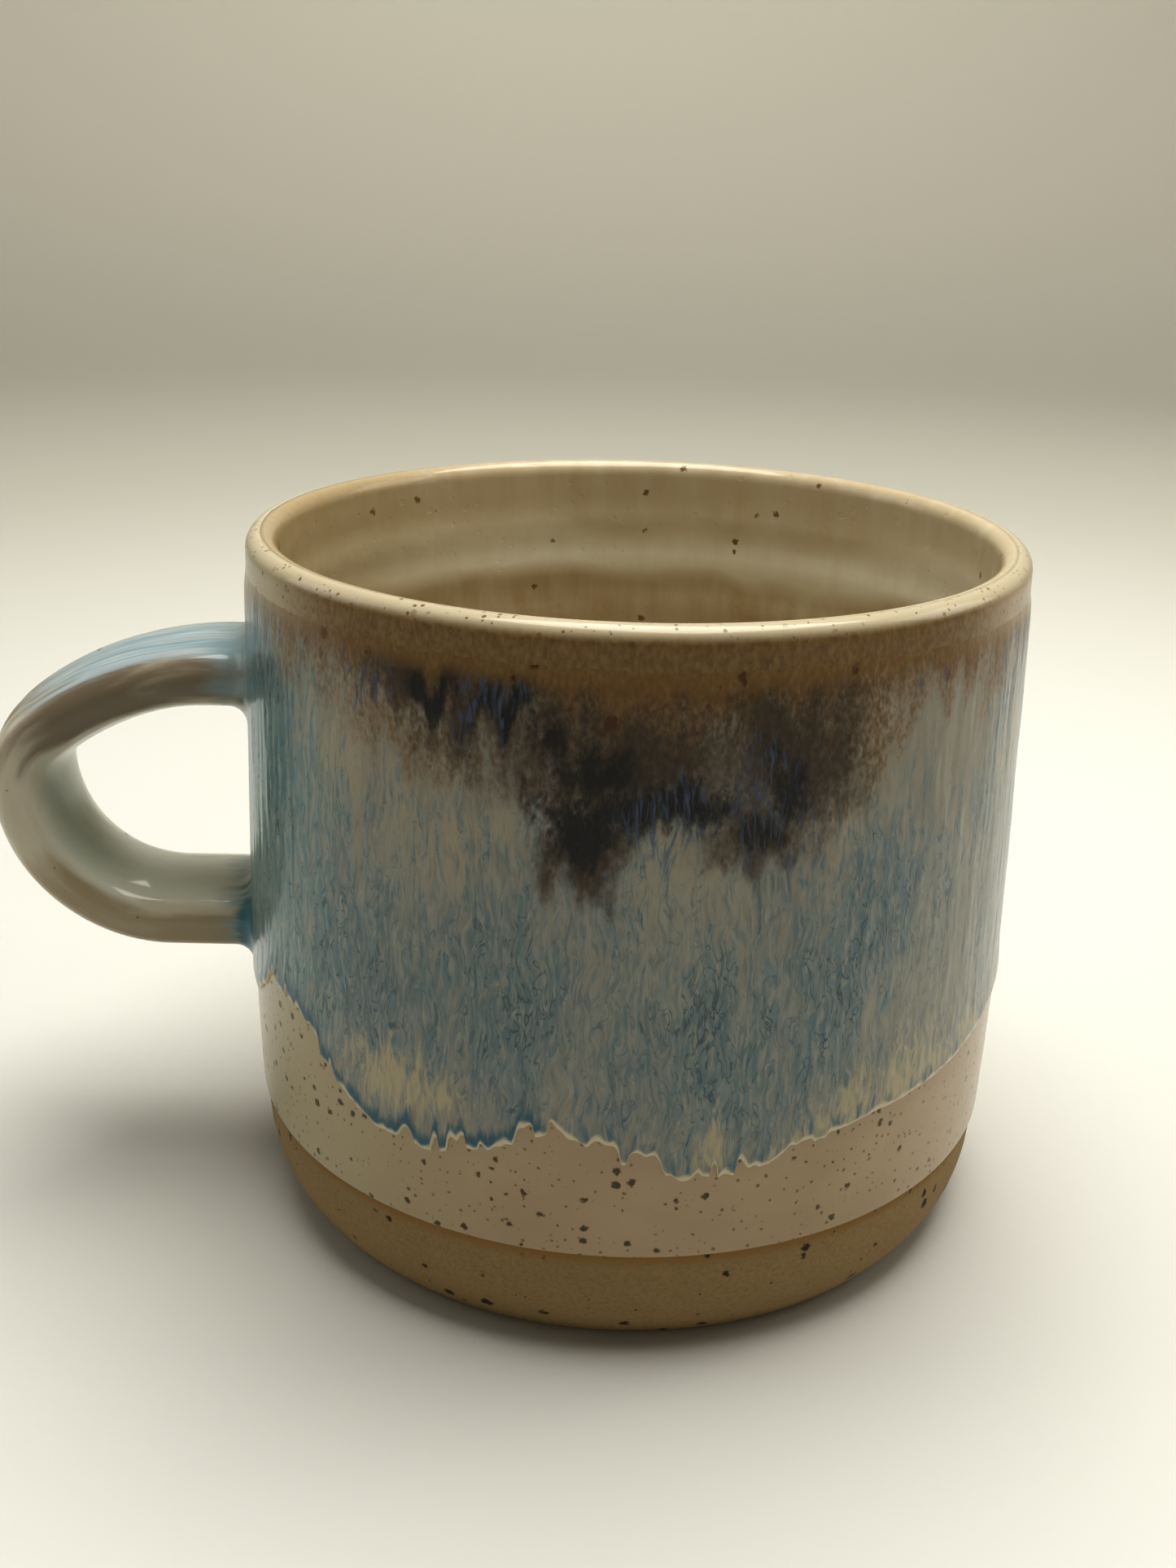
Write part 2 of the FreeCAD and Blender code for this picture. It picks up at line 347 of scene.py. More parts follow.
def iron_specks(tree, spacing, largest, share, stretch=1.0):
    """Specks of random size. spacing is between the cells, largest is a radius, share is the part of
    the cells that have a speck, and stretch is height to width."""
    place = add(tree, "ShaderNodeTexCoord").outputs["Object"]
    place = add(
        tree, "ShaderNodeVectorMath", {0: place, 1: (1.0, 1.0, 1 / stretch)}, operation="MULTIPLY"
    )
    ragged = add(tree, "ShaderNodeTexNoise", {"Vector": place, "Scale": 1 / RAGGED, "Detail": 1.0})
    wander = add(tree, "ShaderNodeVectorMath", {0: ragged.outputs[1], 1: MIDDLE}, operation="SUBTRACT")
    wander = add(tree, "ShaderNodeVectorMath", {0: wander, "Scale": largest}, operation="SCALE")
    moved = add(tree, "ShaderNodeVectorMath", {0: place, 1: wander}, operation="ADD")
    cells = add(tree, "ShaderNodeTexVoronoi", {"Vector": moved, "Scale": 1 / spacing})
    chance = add(tree, "ShaderNodeSeparateColor", {0: cells.outputs["Color"]})
    settings = {"Value": chance, "From Min": 1 - share, "From Max": 1.0, "To Max": largest / spacing}
    radius = add(tree, "ShaderNodeMapRange", settings)
    inside = {0: radius, 1: cells.outputs["Distance"]}
    inside = add(tree, "ShaderNodeMath", inside, operation="SUBTRACT")
    settings = {"Value": inside, "From Min": 0.0, "From Max": SPECK_EDGE * largest / spacing}
    return add(tree, "ShaderNodeMapRange", settings, **SMOOTH)


def coordinate(tree, axis):
    """X, Y or Z of a point of the piece, in metres."""
    place = add(tree, "ShaderNodeTexCoord").outputs["Object"]
    return add(tree, "ShaderNodeSeparateXYZ", {0: place}).outputs[axis]


def zone(tree, axis, low, high, most=1.0):
    """A mask along an axis: none at low, most at high, and an S curve between."""
    span = {"Value": coordinate(tree, axis), "From Min": low, "From Max": high, "To Max": most}
    return add(tree, "ShaderNodeMapRange", span, **SMOOTH)


def painted_mask(tree, name):
    """A mask that is painted on the mesh."""
    return add(tree, "ShaderNodeAttribute", attribute_name=name).outputs["Fac"]


def torn(tree, name, noise_out, strength=2.0, softness=0.5):
    """A painted mask with its edge torn up by noise."""
    return break_up(tree, painted_mask(tree, name), noise_out, strength, softness)


def stack(tree, ground, layers):
    """The ground with each (mask, colour) laid over it in turn. A colour is a hex value or a node."""
    colour = linear(ground) if isinstance(ground, str) else ground
    for mask, over in layers:
        over = linear(over) if isinstance(over, str) else over
        pair = {0: mask, 6: colour, 7: over}
        colour = add(tree, "ShaderNodeMix", pair, data_type="RGBA", clamp_factor=True).outputs[2]
    return colour


def finish(name, colour_of, heights_of, shader):
    """A material: colour_of(tree) and heights_of(tree) give its colour and its relief in metres."""
    material = bpy.data.materials.new(name)
    material.use_nodes = True
    tree = material.node_tree
    tree.nodes.clear()
    relief = add(tree, "ShaderNodeBump", {"Height": heights_of(tree), "Strength": 1.0, "Distance": 1.0})
    surface = add(
        tree, "ShaderNodeBsdfPrincipled", {"Base Color": colour_of(tree), "Normal": relief, **shader}
    )
    add(tree, "ShaderNodeOutputMaterial", {"Surface": surface})
    return material


def weigh(tree, parts):
    """The sum of socket times weight over all parts, as a relief in metres."""
    total = 0.0
    for socket, weight in parts:
        total = add(tree, "ShaderNodeMath", {0: socket, 1: weight, 2: total}, operation="MULTIPLY_ADD")
    return total


# %% [markdown]
# ## Bare stoneware
#
# The foot is left bare so that the mug doesn't stick to the kiln shelf. It is buff stoneware fired in
# oxidation: matt, sandy to the touch, peppered with iron, and toasted orange where the edge of the glaze
# kept it wet. Roughness is high and there is no coat. The grain is a fine noise, drawn a little coarser
# than the real 0.1 mm so that it shows.

# %% The clay
def clay_colour(tree):
    toasted = zone(tree, "Z", glaze_line - 1.8 * MM, glaze_line)
    cloud = run_noise(tree, 9 * MM, 5 * MM, 3.0)
    grain = run_noise(tree, 0.45 * MM, 0.45 * MM, 3.0)
    return stack(
        tree,
        "#968059",
        [
            (cloud, "#a28b63"),
            (break_up(tree, 0.2, grain, 2.0, 0.7), "#86704b"),
            (toasted, "#93713f"),
            (iron_specks(tree, 1.0 * MM, 0.26 * MM, 0.3), "#5e4a32"),
            (iron_specks(tree, 2.2 * MM, 0.9 * MM, 0.3), "#3b2d1e"),
        ],
    )


def clay_relief(tree):
    grain = run_noise(tree, 0.4 * MM, 0.4 * MM, 3.0)
    trimming = run_noise(tree, 40 * MM, 0.55 * MM, 2.0)
    return weigh(tree, [(grain, 0.035 * MM), (trimming, 0.05 * MM)])


MATT = {"Roughness": 0.82, "IOR": 1.5, "Specular IOR Level": 0.35}
bare_stoneware = finish("bare_stoneware", clay_colour, clay_relief, MATT)

# %% [markdown]
# ## The thrown body
#
# One section, turned. It goes along the underside, round the foot, up the wall, over the lip and down the
# inside to the floor. The rays of the caliper give its points. The throwing rings are left to the liner,
# the only place where they show.


# %% Sections read off the frame
LIP_STEPS = 10
PROBE = 1.35 * MM  # depth under the top at which the lip's thickness is measured
FOCUS = 24 * MM  # height on the axis from which the inside corner and the floor are measured


def lip_arc(surface_gap):
    """Points over the lip, from outside to inside, at a gap above the clay."""
    probe = clay_top - PROBE
    outer = outside(clay, probe)
    inner = meet(clay, (0, 0, probe), (1, 0, 0)).x
    radius = (outer - inner) / 2
    centre = Vector(((outer + inner) / 2, 0, clay_top - radius))
    arc = []
    for step in range(LIP_STEPS + 1):
        angle = math.pi * step / LIP_STEPS
        reach = radius + surface_gap
        arc.append((centre.x + reach * math.cos(angle), centre.z + reach * math.sin(angle)))
    return arc


def outer_points(surface, low, high, step=1.0 * MM):
    """Points up the outside of a surface."""
    heights = np.linspace(low, high, max(2, round((high - low) / step)))
    return [(outside(surface, z), z) for z in heights]


def inner_points(surface, high, step=1.2 * MM, angles=26):
    """Points down the inside of a surface, round the corner and along the floor to the axis."""
    points = []
    for z in np.arange(high, FOCUS, -step):
        points.append((meet(surface, (0, 0, z), (1, 0, 0)).x, z))
    for angle in np.linspace(0, math.pi / 2, angles):
        place = meet(surface, (0, 0, FOCUS), (math.cos(angle), 0, -math.sin(angle)))
        points.append((max(place.x, 0.0), place.z))
    return points


lip_low = clay_top - 1.6 * MM
foot_flat = outside(clay, 0.02 * MM)
foot_round = [
    (foot_flat - 0.9 * MM, 0.0),
    (foot_flat - 0.25 * MM, 0.06 * MM),
    (foot_flat + 0.1 * MM, 0.25 * MM),
]
body_section = [(r, 0.0) for r in np.linspace(0, foot_flat - 1.6 * MM, 24)]
body_section += foot_round + outer_points(clay, 0.6 * MM, glaze_line + 1 * MM, 0.5 * MM)
body_section += outer_points(clay, glaze_line + 3 * MM, lip_low, 3 * MM)
body_section += lip_arc(0.0) + inner_points(clay, lip_low, 3 * MM, 12)
body = turn_piece("thrown_clay", body_section, 288, bare_stoneware)

# %% [markdown]
# ## The speckled white coat
#
# A dolomite white over iron-bearing clay: the white is warm, a little milky, and the iron of the body
# bleeds up through it in brown specks of up to 1.2 mm. On the crest of the lip the coat runs thin and turns
# to cream, and just under it, in front and behind, to tan. It is glass, so it has an IOR of 1.5, a sharp
# clear coat, and under that a softer, weaker reflection.

# %% White coat: colour and relief
GLASS = {"Roughness": 0.3, "IOR": 1.5, "Specular IOR Level": 0.15}
GLASS.update({"Coat Weight": 0.5, "Coat Roughness": 0.06, "Coat IOR": 1.5})
LARGE_SPECKS = (1.6 * MM, 0.62 * MM, 0.6)


def white_colour(tree):
    near_lip = zone(tree, "Z", flow_top - 7 * MM, flow_top - 5 * MM)
    front_back = add(tree, "ShaderNodeMath", {0: coordinate(tree, "Y")}, operation="ABSOLUTE")
    tan_side = {"Value": front_back, "From Min": 22 * MM, "From Max": 36 * MM, "To Max": near_lip}
    near_lip = add(tree, "ShaderNodeMapRange", tan_side, **SMOOTH)
    at_crest = zone(tree, "Z", clay_top - 1.2 * MM, clay_top + 0.1 * MM)
    cloud = run_noise(tree, 14 * MM, 8 * MM, 2.0)
    grain = break_up(tree, 0.5, run_noise(tree, 0.5 * MM, 0.9 * MM, 3.0, 0.3, 23.0), 1.8, 0.5)
    # Painted light: the white is drawn lighter and a little greener towards the handle (-X) side, where
    # more light falls.
    painted_light_handle_side = zone(tree, "X", -6 * MM, -44 * MM, 0.8)
    few = {"Value": coordinate(tree, "Z"), "From Min": flow_top - 4 * MM, "From Max": flow_top}
    few = add(tree, "ShaderNodeMapRange", {**few, "To Min": 1.0, "To Max": 0.3})
    return stack(
        tree,
        "#a58f73",
        [
            (cloud, "#bba88c"),
            # painted light on the handle side
            (painted_light_handle_side, "#b3a98a"),
            (near_lip, "#8c7149"),
            (times(tree, grain, near_lip), "#705531"),
            (at_crest, "#c2b79d"),
            (iron_specks(tree, 0.75 * MM, 0.28 * MM, 0.75), "#806a45"),
            (times(tree, iron_specks(tree, *LARGE_SPECKS), few), "#4f401f"),
        ],
    )


def white_relief(tree):
    orange_peel = run_noise(tree, 2.4 * MM, 2.4 * MM, 1.0)
    pits = iron_specks(tree, *LARGE_SPECKS)
    return weigh(tree, [(orange_peel, 0.05 * MM), (pits, -0.03 * MM)])


speckled_white = finish("speckled_white_glaze", white_colour, white_relief, GLASS)

# %% White coat: mesh
BEAD = 0.7 * MM  # height over which the coat rounds down to the clay at the glaze line


def glaze_bead(surface, low):
    """Points from the clay out to the coat's full thickness, a quarter of an ellipse."""
    bead = []
    for angle in np.linspace(0, math.pi / 2, 6)[:-1]:
        z = low + BEAD * (1 - math.cos(angle))
        thin = outside(clay, z + 0.05 * MM)
        full = outside(surface, z + 0.05 * MM)
        bead.append((thin + (full - thin) * math.sin(angle), z))
    return bead


lip_over = lip_arc(coat)
crest_step = LIP_STEPS // 2 + 1
white_section = glaze_bead(white, glaze_line + 0.02 * MM)
white_section += outer_points(white, glaze_line + BEAD, lip_low)
white_section += lip_over[:crest_step] + lip_arc(0.0)[:crest_step][::-1]
white_section += outer_points(clay, glaze_line + BEAD, lip_low, 6 * MM)[::-1]
white_section.append(white_section[0])
white_coat = turn_piece("white_coat", white_section, 288, speckled_white)

# %% [markdown]
# ## The liner
#
# Glaze is poured in, swirled and poured out, so the liner is even, with a soft band where it was slow to
# run off. Through it show the throwing rings of the clay. They are real shape here, 0.16 mm deep, because
# their highlights are what tells the eye that the pot was thrown. The colours lie in wavy bands: brown
# where the coat is thin under the lip, then pale celadon, brown again, and beige down to the floor.


# %% Liner
def liner_colour(tree):
    wave = run_noise(tree, 34 * MM, 60 * MM, 2.0, 0.6)
    bent = {0: wave, 1: 13 * MM, 2: coordinate(tree, "Z")}
    bent = add(tree, "ShaderNodeMath", bent, operation="MULTIPLY_ADD")
    span = {"Value": bent, "From Min": 6.5 * MM, "From Max": 89.5 * MM}
    level = add(tree, "ShaderNodeMapRange", span)
    bands = add(tree, "ShaderNodeValToRGB", {0: level})
    stops = [
        (0.0, "#cfc5ab"),
        (0.5, "#d1c7ae"),
        (0.68, "#cdc1a4"),
        (0.77, "#a9916b"),
        (0.81, "#b39e79"),
        (0.84, "#dfdcc8"),
        (0.885, "#dfdbc6"),
        (0.92, "#c3b496"),
        (1.0, "#bcab8c"),
    ]
    ramp = bands.color_ramp
    while len(ramp.elements) < len(stops):
        ramp.elements.new(0.5)
    for element, (at, colour) in zip(ramp.elements, stops):
        element.position = at
    for element, (at, colour) in zip(ramp.elements, stops):
        element.color = linear(colour)
    runs = run_noise(tree, 3 * MM, 14 * MM, 3.0)
    shaded_side = zone(tree, "X", -12 * MM, -44 * MM, 0.75)
    return stack(
        tree,
        bands,
        [
            (break_up(tree, 0.25, runs, 1.5, 0.9), "#d2c9b0"),
            (shaded_side, "#a08c66"),
            (iron_specks(tree, 2.6 * MM, 0.7 * MM, 0.25), "#7d6443"),
        ],
    )


poured_liner = finish("poured_liner_glaze", liner_colour, white_relief, GLASS)
liner_section = inner_points(liner, lip_low)[::-1] + lip_over[crest_step - 1 :][::-1]
liner_section += lip_arc(0.0)[crest_step - 1 :] + inner_points(clay, lip_low, 6 * MM, 10)
liner_rings = (6.5 * MM, 0.16 * MM, 14 * MM, 30 * MM, clay_top - 2 * MM)
liner_coat = turn_piece("liner_coat", liner_section, 256, poured_liner, liner_rings)

# %% [markdown]
# ## The coat that flowed
#
# The second coat holds titanium, which makes it fluid and lets it break from blue to beige in streaks. It
# ran down the wall in the kiln and stopped at a wavy edge, where it gathered in a thick roll. The frame
# gives the line of that edge. A finer mesh gives it what a runny glaze has: a rounded roll, small drips
# and notches, and a relief of fine runs. It is made from rows of points all round the mug, which is
# quicker and neater than displacing a subdivided surface.


# %% Where the coat ends
COLUMNS = 1200
turns = np.linspace(-180, 180, COLUMNS, endpoint=False)  # degrees from -Y, towards +X
flow = surface_of("flowing_glaze")
HALVINGS = 11  # steps to the edge, which finds it to about 0.03 mm


def covered(turn, z):
    """Whether the flowing coat covers the wall at that turn and height."""
    way = Vector((math.sin(math.radians(turn)), -math.cos(math.radians(turn)), 0))
    place = flow.ray_cast(way * FAR + Vector((0, 0, z)), -way)[0]
    return place is not None and place.dot(way) > 0


def edge_height(turn):
    """Height of the coat's lower edge, by halving."""
    low, high = glaze_line, flow_top - 12 * MM
    for _ in range(HALVINGS):
        middle = (low + high) / 2
        low, high = (low, middle) if covered(turn, middle) else (middle, high)
    return high


def turn_from(value, middle):
    """Degrees from middle, between -180 and 180."""
    return (value - middle + 180) % 360 - 180


HANDLE_TURN = -90
HANDLE_SPAN = 17  # degrees each side of the handle, where its own coat hides the edge
coarse_turns = turns[::6]
edge = np.array([edge_height(turn) for turn in coarse_turns])
near_handle = np.abs(turn_from(coarse_turns, HANDLE_TURN)) < HANDLE_SPAN
edge = np.interp(turns, coarse_turns[~near_handle], edge[~near_handle], period=360)
print(f"edge of the flowing coat: {edge.min() / MM:.1f} to {edge.max() / MM:.1f} mm high")


# %% Noise round the mug
WALL = 46 * MM  # radius on which the widths of patterns are true


def wall_noise(turn, z, width, length, seed):
    """Noise from -1 to 1 at points of the wall, in patches of that width and length in metres."""
    radius = WALL / width
    angle = np.radians(turn)
    points = np.stack([np.sin(angle) * radius, -np.cos(angle) * radius + seed, z / length], axis=-1)
    values = [noise.noise(Vector(p)) for p in points.reshape(-1, 3)]
    return np.array(values).reshape(points.shape[:-1])


def edge_noise(width, seed):
    """Noise along the coat's edge."""
    return wall_noise(turns, 0 * turns, width, 1, seed)


# %% Drips and notches of the edge
NOTCH = 1.9 * MM  # height of the deepest notches
NOTCH_SPAN = 0.3  # noise within this of its middle makes a notch
lively = smoothstep(np.abs(turn_from(turns, 95)), 62, 82)  # the edge is smoother on the +X side
notches = np.sqrt(np.clip(1 - (np.abs(edge_noise(2.3 * MM, 3.1)) / NOTCH_SPAN) ** 2, 0, 1))
notches = notches * smoothstep(edge_noise(6 * MM, 9.4), -0.3, 0.1)
lobes = edge_noise(2.6 * MM, 5.2) * 0.8 * MM
lobes = lobes + edge_noise(0.9 * MM, 1.8) * 0.3 * MM
edge = edge + lobes * (0.3 + 0.7 * lively) + notches * NOTCH * lively

# %% [markdown]
# The relief is a thickness over the white coat. A quarter of an ellipse makes the roll, and above it the
# coat thins. Near the lip it feathers out to nothing, so the white shows on the rim. The inner side of
# the shell lies just below the white surface, so both coats stay closed and nothing shows between them.

# %% Mesh of the flowing coat
FULL = 0.4 * MM  # the frame's thickness, reached in the roll
ROLL = 1.1 * MM  # height of the roll
SINK = 0.07 * MM  # the coat's borders lie this far under the white surface
heights_table = np.linspace(glaze_line + 0.5 * MM, flow_top + 0.2 * MM, 160)
radii_table = np.array([outside(white, z) for z in heights_table])


def white_radius(z):
    return np.interp(z, heights_table, radii_table)


first_rows = np.array([0, 0.04, 0.12, 0.25, 0.42, 0.65, 0.9, 1.2, 1.6, 2.1, 2.7]) * MM
upper_share = np.linspace(0, 1, 58)[1:, None]
above_edge = np.broadcast_to(first_rows[:, None], (len(first_rows), COLUMNS))
first_top = first_rows[-1]
upper_rows = edge + first_top + upper_share * (flow_top - edge - first_top)
height = np.concatenate([edge + above_edge, upper_rows])
turn = np.broadcast_to(turns, height.shape)
rise = height - edge

rolled = np.sqrt(np.clip(1 - (1 - np.clip(rise / ROLL, 0, 1)) ** 2, 0, 1))
thinning = 1 - 0.5 * smoothstep(rise, ROLL, 5 * MM)
runs = wall_noise(turn, height, 0.9 * MM, 7 * MM, 0.3) * 0.06 * MM
runs = runs + wall_noise(turn, height, 2.6 * MM, 16 * MM, 7.7) * 0.07 * MM
ripple = smoothstep(rise, ROLL, 4 * MM)
thick = FULL * rolled * thinning - SINK * (1 - rolled) + runs * ripple
thick = np.minimum(thick, FULL - 0.005 * MM)
feather = smoothstep(height, flow_top - 4 * MM, flow_top - 0.1 * MM)
thick = thick * (1 - feather) - SINK * feather

inner_share = np.linspace(1, 0, 6)[1:-1, None]
inner_height = edge + inner_share * (flow_top - edge)
all_height = np.concatenate([height, inner_height])
INNER = 0.05 * MM  # the inner side lies this much deeper than the borders
all_thick = np.concatenate([thick, np.full(inner_height.shape, -SINK - INNER)])
all_turn = np.radians(np.broadcast_to(turns, all_height.shape))
all_radius = white_radius(all_height) + all_thick
flow_points = np.stack([all_radius * np.sin(all_turn), -all_radius * np.cos(all_turn), all_height], axis=-1)


def knit(name, points, finish_material, painted):
    """A closed piece from rows of points, joined round and from the last row to the first, with the
    painted attributes."""
    rows, columns = points.shape[:2]
    index = np.arange(rows * columns).reshape(rows, columns)
    right = np.roll(index, -1, axis=1)
    above = np.roll(index, -1, axis=0)
    faces = np.stack([index, right, np.roll(right, -1, axis=0), above], axis=-1).reshape(-1, 4)
    mesh = bpy.data.meshes.new(name)
    mesh.from_pydata(points.reshape(-1, 3).tolist(), [], faces.tolist())
    for key, values in painted.items():
        kind = "FLOAT_VECTOR" if values.ndim == 3 else "FLOAT"
        field = "vector" if values.ndim == 3 else "value"
        layer = mesh.attributes.new(key, kind, "POINT")
        layer.data.foreach_set(field, values.astype(np.float32).ravel())
    mesh.materials.append(finish_material)
    smooth(mesh)
    print(f"{name}: {len(mesh.vertices)} points, {len(mesh.polygons)} faces")
    return new_object(name, mesh)


# %% [markdown]
# ## Where each colour lies
#
# On a runny glaze the colours follow thickness: brown and black where it stayed thin near the lip, blue
# where it moved, cream where it stopped. Painting those areas by hand would be one way. Here soft oval
# spots, given as turn, height and half sizes, are bent by slow noise and stored on the mesh, and the
# material tears their borders into streaks. Turn is in degrees from -Y towards +X, height in mm.

# %% Spots of each colour
def bent_by(values, waves):
    """Values moved by noise, given as how far, width and length in mm, and seed."""
    for far, width, length, seed in waves:
        values = values + far * wall_noise(turn, height, width * MM, length * MM, seed)
    return values


bent_turn = bent_by(turn, [(5, 11, 17, 21.0), (2.5, 3.0, 9, 25.0)])
bent_height = bent_by(height / MM, [(4, 8, 14, 31.0), (3.5, 2.1, 9, 35.0), (2, 0.9, 5, 39.0)])


def paint(spots):
    """1 in the middle of a spot, 0 outside. A spot is turn, height, half width and half height."""
    best = np.zeros(turn.shape)
    for middle, level, wide, high in spots:
        reach = np.hypot(turn_from(bent_turn, middle) / wide, (bent_height - level) / high)
        best = np.maximum(best, 1 - smoothstep(reach, 0.1, 1.5))
    return best


BLACK_SPOTS = [
    (-5, 65, 9, 2.8), (-8, 64, 4.5, 3.6), (4, 65.5, 6, 2.4), (-7, 61, 3, 2), (-17, 74, 4, 2.5),
    (-26, 77, 3, 2), (13, 61, 3, 1.5), (34, 77, 3, 2), (17, 66, 2.5, 3), (-8, 70, 5, 2),
]
BLACK_SPOTS += [(128, 64, 7, 3), (133, 57, 2, 5), (-150, 70, 8, 3), (176, 75, 7, 2.5)]
BROWN_SPOTS = [
    (-3, 70, 16, 6), (-18, 74, 8, 5), (-29, 77, 8, 4), (-7, 60, 6, 4), (13, 61, 6, 4), (18, 69, 9, 7),
    (130, 67, 16, 8), (170, 73, 20, 6), (-150, 70, 18, 7), (-120, 74, 10, 5), (75, 75, 12, 4),
]
TAN_SPOTS = [(-30, 71, 12, 4), (28, 74, 12, 5), (100, 70, 12, 6), (-130, 66, 14, 6), (150, 64, 14, 6)]
BEIGE_SPOTS = [
    (-44, 64, 9, 7), (-24, 60, 12, 6), (4, 57, 5, 6), (24, 62, 5, 6), (27, 72, 4, 5), (-29, 77, 2, 5),
    (60, 66, 8, 8), (105, 60, 8, 6), (150, 58, 10, 6), (-165, 60, 10, 6), (-125, 63, 10, 7),
]
VIOLET_SPOTS = [
    (-60, 73, 7, 9), (-18, 76, 6, 6), (-38, 76, 6, 5), (36, 77, 9, 4), (2, 65, 8, 5), (14, 63, 6, 8),
    (62, 74, 9, 6), (120, 72, 12, 7), (160, 66, 12, 8), (-140, 74, 12, 7), (-115, 68, 8, 9),
]
BLUE_SPOTS = [
    (-66, 56, 13, 30), (-44, 43, 20, 11), (-16, 43, 10, 9), (10, 40, 14, 10), (30, 50, 8, 14),
    (-90, 52, 18, 34), (85, 46, 14, 16), (125, 42, 20, 12), (165, 44, 16, 14), (-140, 46, 18, 16),
]
PALE_SPOTS = [
    (45, 45, 14, 18), (62, 50, 12, 20), (-30, 58, 10, 8), (-36, 32, 12, 5), (4, 52, 8, 8),
    (150, 50, 12, 10),
]
CREAM_SPOTS = [
    (8, 27, 2.6, 6), (30, 28, 6, 5), (41, 30, 8, 5), (55, 29, 10, 4), (72, 29, 12, 5), (22, 26, 3, 3),
    (-33, 31, 7, 4), (98, 28, 10, 5), (140, 27, 5, 5), (150, 26, 10, 3), (-168, 28, 7, 5),
    (-120, 28, 8, 4),
]

tan = np.maximum(smoothstep(bent_height, 70, 78), 0.6 * paint(TAN_SPOTS))
tan = tan * (1 - 0.45 * paint([(-28, 72, 12, 5), (-40, 76, 9, 5)]))
tan = tan * (1 - 0.8 * paint([(-62, 74, 15, 12), (66, 70, 18, 14), (-92, 66, 16, 20)]))
below_lip = 1 - smoothstep(height, flow_top - 3.5 * MM, flow_top - 0.5 * MM)
side_on = smoothstep(np.abs(np.sin(np.radians(bent_turn))), 0.72, 0.88)  # there the blue reaches the lip
left_pool = 1 - smoothstep(np.abs(turn_from(turn, -42)), 24, 38)
back_pool = 1 - smoothstep(np.abs(turn_from(turn, 170)), 20, 45)
pool = (1 - smoothstep(rise, 0.9 * MM, 3.2 * MM)) * np.maximum(0.35, np.maximum(left_pool, back_pool))
aqua = smoothstep(np.abs(turn_from(bent_turn, -92)), 26, 56)  # round the handle
aqua = 0.9 * (1 - aqua) * (1 - 0.6 * smoothstep(bent_height, 60, 80))
near_top = smoothstep(height, flow_top - 4 * MM, flow_top - 0.8 * MM)
brown_side = smoothstep(np.abs(np.cos(np.radians(turn))), 0.48, 0.78)
bands = wall_noise(turn, height, 3.0 * MM, 16 * MM, 51.0)
rim_width = (0.9 + 0.9 * edge_noise(1.2 * MM, 12.0)) * MM
blue = (0.25 + 0.55 * paint(BLUE_SPOTS)) * (1 + 0.9 * bands)
painted = {
    "black": 1.05 * paint(BLACK_SPOTS) * below_lip,
    "brown": 1.05 * paint(BROWN_SPOTS) * below_lip,
    "beige": paint(BEIGE_SPOTS),
    "violet": 0.22 * paint(VIOLET_SPOTS) * below_lip,
    "blue": blue * (1 - smoothstep(bent_height - 18 * side_on, 56, 72)),
    "pale": 0.05 + 0.3 * (1 - smoothstep(bent_height, 50, 66)) * (0.4 + paint(PALE_SPOTS)),
    "aqua": aqua,
    "cream": paint(CREAM_SPOTS),
    "tan": tan,
    "pool": pool,
    "rim": 1 - smoothstep(rise, 0.5 * rim_width, rim_width),
    "lip": near_top * brown_side,
    "lip_side": near_top * (1 - brown_side),
}
inner_rows = np.zeros(inner_height.shape)
painted = {key: np.concatenate([values, inner_rows]) for key, values in painted.items()}

# %% [markdown]
# ## The glaze that breaks
#
# The material lays the colours over each other as thickness does in the kiln. The ground is a warm grey.
# Steel blue breaks through it in streaks about 0.5 and 1 mm wide, which turn to aqua round the handle. Thin
# wavy lines of teal mark where two streaks met, and tan, brown, black, indigo and cream follow their spots.
# Near the lip it thins to the colours of the coat below. The streaks are noise stretched five to eight
# times along Z and bent sideways, and the relief repeats them at a few hundredths of a millimetre.

# %% Flowing glaze
FINE_RUNS = (0.45 * MM, 3.6 * MM, 3.0, 0.6, 3.0)
MIDDLING_RUNS = (1.1 * MM, 8 * MM, 3.0, 0.8, 11.0)


